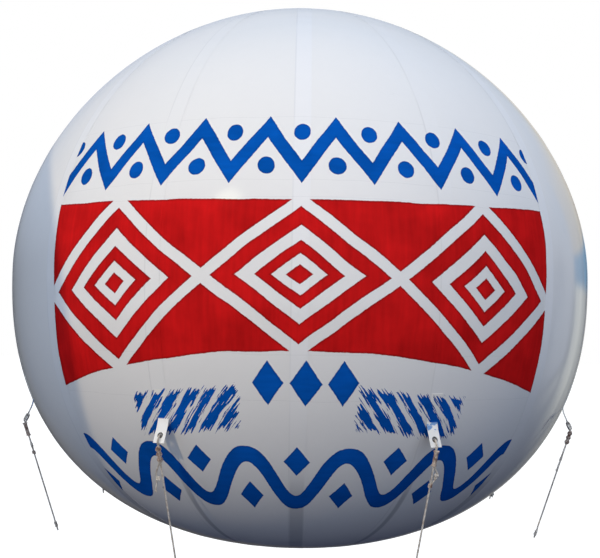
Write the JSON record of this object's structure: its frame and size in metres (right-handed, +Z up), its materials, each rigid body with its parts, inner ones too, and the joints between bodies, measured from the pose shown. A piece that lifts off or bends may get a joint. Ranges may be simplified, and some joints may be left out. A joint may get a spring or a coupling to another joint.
{
  "type": "round tether balloon",
  "caption": "Round tethered display balloon of welded PVC gores with seam tapes, polar patches, a tied filling neck and tether tabs with eyelets and ropes.",
  "frame": {"origin": "middle of the widest circle of the envelope, where the air carries the balloon", "axes": "+Z up along the polar axis, -Y towards the pictured front, +X to the picture's right"},
  "size_m": [3.0546, 3.0546, 2.9216],
  "materials": {
    "white_pvc": "glossy",
    "seam_tape_pvc": "glossy",
    "eyelet_metal": "polished",
    "rope_fibre": "twisted fibre"
  },
  "bodies": {
    "root": {"gore_01": "white_pvc", "gore_02": "white_pvc", "gore_03": "white_pvc", "gore_04": "white_pvc", "gore_05": "white_pvc", "gore_06": "white_pvc", "gore_07": "white_pvc", "gore_08": "white_pvc", "gore_09": "white_pvc", "gore_10": "white_pvc", "gore_11": "white_pvc", "gore_12": "white_pvc", "gore_13": "white_pvc", "gore_14": "white_pvc", "gore_15": "white_pvc", "gore_16": "white_pvc", "seam_tape_01": "seam_tape_pvc", "seam_tape_02": "seam_tape_pvc", "seam_tape_03": "seam_tape_pvc", "seam_tape_04": "seam_tape_pvc", "seam_tape_05": "seam_tape_pvc", "seam_tape_06": "seam_tape_pvc", "seam_tape_07": "seam_tape_pvc", "seam_tape_08": "seam_tape_pvc", "seam_tape_09": "seam_tape_pvc", "seam_tape_10": "seam_tape_pvc", "seam_tape_11": "seam_tape_pvc", "seam_tape_12": "seam_tape_pvc", "seam_tape_13": "seam_tape_pvc", "seam_tape_14": "seam_tape_pvc", "seam_tape_15": "seam_tape_pvc", "seam_tape_16": "seam_tape_pvc", "tether_tab_01": "white_pvc", "tether_tab_02": "white_pvc", "tether_tab_03": "white_pvc", "tether_tab_04": "white_pvc", "tether_tab_05": "white_pvc", "tether_tab_06": "white_pvc", "tether_tab_07": "white_pvc", "tether_tab_08": "white_pvc", "eyelet_01": "eyelet_metal", "eyelet_02": "eyelet_metal", "eyelet_03": "eyelet_metal", "eyelet_04": "eyelet_metal", "eyelet_05": "eyelet_metal", "eyelet_06": "eyelet_metal", "eyelet_07": "eyelet_metal", "eyelet_08": "eyelet_metal", "tether_rope_01": "rope_fibre", "tether_rope_02": "rope_fibre", "tether_rope_03": "rope_fibre", "tether_rope_04": "rope_fibre", "tether_rope_05": "rope_fibre", "tether_rope_06": "rope_fibre", "tether_rope_07": "rope_fibre", "tether_rope_08": "rope_fibre", "top_patch": "white_pvc", "base_patch": "white_pvc", "filling_neck": "white_pvc", "neck_tie": "rope_fibre"}
  },
  "joints": []
}
